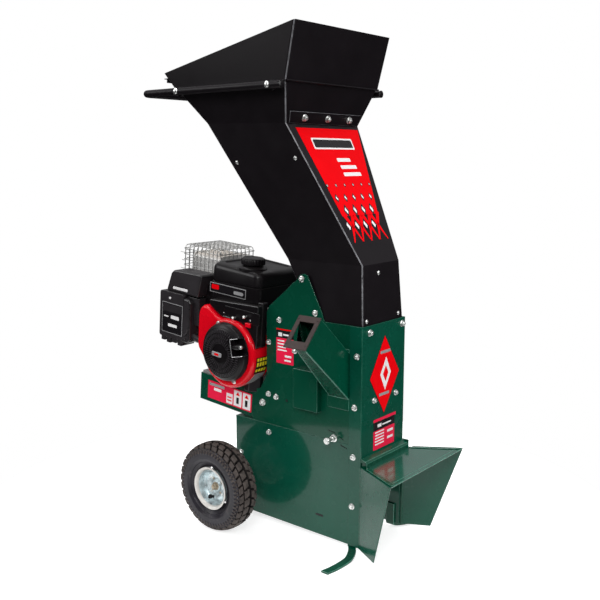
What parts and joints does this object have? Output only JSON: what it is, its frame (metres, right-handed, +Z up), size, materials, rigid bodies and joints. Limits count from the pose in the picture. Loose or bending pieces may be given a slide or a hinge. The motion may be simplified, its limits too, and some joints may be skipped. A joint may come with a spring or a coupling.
{
  "type": "wood chipper",
  "caption": "Wheeled petrol wood chipper and shredder with a tall hopper, a side branch chute, an engine-driven rotor, a hinged discharge deflector and a push handle.",
  "frame": {"origin": "centre of the bounding box on the ground plane", "axes": "+Z up, +X towards the discharge deflector, -Y towards the side chute and the recoil starter"},
  "size_m": [0.9116, 0.5634, 1.407],
  "materials": {
    "green_paint": "gloss powder coat, dark green",
    "black_paint": "satin powder coat, black",
    "tyre_rubber": "block-tread rubber",
    "brown_rubber": "matt moulded rubber",
    "belt_rubber": "V-belt rubber",
    "zinc": "bright zinc plate",
    "steel": "machined steel",
    "cast_metal": "as-cast and machined",
    "muffler_steel": "plated sheet steel",
    "red_plastic": "gloss red moulding",
    "black_plastic": "satin moulded plastic"
  },
  "bodies": {
    "chassis": {"stand_side_near": "green_paint", "stand_side_far": "green_paint", "leg_near": "green_paint", "leg_far": "green_paint", "stand_back": "green_paint", "front_cover": "green_paint", "housing_plate_near": "green_paint", "housing_plate_far": "green_paint", "housing_back": "green_paint", "chipper_chute": "green_paint", "bearing_cover": "green_paint", "deflector_hood": "green_paint", "engine_platform": "green_paint", "belt_guard": "black_paint", "hopper_funnel": "black_paint", "hopper_collar": "black_paint", "push_handle": "black_paint", "chute_mouth_rubber": "brown_rubber", "drive_belt": "belt_rubber", "axle": "zinc", "muffler_guard": "zinc", "discharge_screen": "steel", "bearing_near": "cast_metal", "bearing_far": "cast_metal", "crankcase": "cast_metal", "cylinder": "cast_metal", "cylinder_head": "cast_metal", "carburettor": "cast_metal", "muffler": "muffler_steel", "blower_housing": "red_plastic", "recoil_cover": "black_plastic", "fuel_tank": "black_plastic", "control_panel": "black_plastic", "air_cleaner_body": "black_plastic", "air_cleaner_cover": "black_plastic"},
    "rotor": {"rotor_shaft": "steel", "rotor_hub": "steel", "rotor_disc": "steel", "chipper_knife_1": "steel", "chipper_knife_2": "steel", "shredder_blade_1": "steel", "shredder_blade_2": "steel", "rotor_pulley": "cast_metal"},
    "crank": {"crankshaft": "steel", "flywheel": "cast_metal", "engine_pulley": "cast_metal"},
    "wheel_near": {"tyre_near": "tyre_rubber", "rim_near": "zinc"},
    "wheel_far": {"tyre_far": "tyre_rubber", "rim_far": "zinc"},
    "deflector": {"deflector_top": "green_paint", "deflector_side_near": "green_paint", "deflector_side_far": "green_paint"},
    "starter_grip": {"starter_grip": "black_plastic"},
    "fuel_cap": {"fuel_cap": "black_plastic"},
    "oil_filler_cap": {"oil_filler_cap": "black_plastic"},
    "throttle_lever": {"throttle_lever": "zinc"},
    "choke_lever": {"choke_lever": "zinc"},
    "stop_switch": {"stop_switch": "red_plastic"},
    "latch_pin": {"latch_pin": "zinc"}
  },
  "joints": [
    {"name": "rotor_spin", "type": "hinge", "parent": "chassis", "child": "rotor", "pos_m": [0.1254, 0.0122, 0.45], "axis": [0, 1, 0], "continuous": true},
    {"name": "crank_spin", "type": "hinge", "parent": "chassis", "child": "crank", "pos_m": [-0.14511, 0.0122, 0.51021], "axis": [0, 1, 0], "continuous": true},
    {"name": "wheel_near_spin", "type": "hinge", "parent": "chassis", "child": "wheel_near", "pos_m": [-0.1136, -0.2148, 0.13], "axis": [0, 1, 0], "continuous": true},
    {"name": "wheel_far_spin", "type": "hinge", "parent": "chassis", "child": "wheel_far", "pos_m": [-0.1136, 0.2392, 0.13], "axis": [0, 1, 0], "continuous": true},
    {"name": "deflector_lift", "type": "hinge", "parent": "chassis", "child": "deflector", "pos_m": [0.3154, 0.0122, 0.249], "axis": [0, -1, 0], "range_deg": [0, 35]},
    {"name": "starter_pull", "type": "slide", "parent": "chassis", "child": "starter_grip", "axis": [0, -1, 0], "range_m": [0, 0.5], "stiffness_N_per_m": 15, "springref_m": -0.8},
    {"name": "fuel_cap_turn", "type": "hinge", "parent": "chassis", "child": "fuel_cap", "pos_m": [-0.10823, -0.0598, 0.76909], "axis": [0.0802, 0, 0.9968], "range_deg": [0, 90]},
    {"name": "oil_cap_turn", "type": "hinge", "parent": "chassis", "child": "oil_filler_cap", "pos_m": [-0.05135, -0.0328, 0.45351], "axis": [0.0802, 0, 0.9968], "range_deg": [0, 180]},
    {"name": "throttle_slide", "type": "slide", "parent": "chassis", "child": "throttle_lever", "axis": [0.9968, 0, -0.0802], "range_m": [-0.052, 0.003]},
    {"name": "choke_slide", "type": "slide", "parent": "chassis", "child": "choke_lever", "axis": [0.9968, 0, -0.0802], "range_m": [-0.034, 0.003]},
    {"name": "stop_switch_slide", "type": "slide", "parent": "chassis", "child": "stop_switch", "axis": [0.9968, 0, -0.0802], "range_m": [-0.006, 0]},
    {"name": "latch_pull", "type": "slide", "parent": "chassis", "child": "latch_pin", "axis": [0, -1, 0], "range_m": [0, 0.012], "stiffness_N_per_m": 300, "springref_m": -0.01}
  ],
  "couplings": [
    {"joint": "crank_spin", "follows": "rotor_spin", "ratio": 1.458}
  ]
}
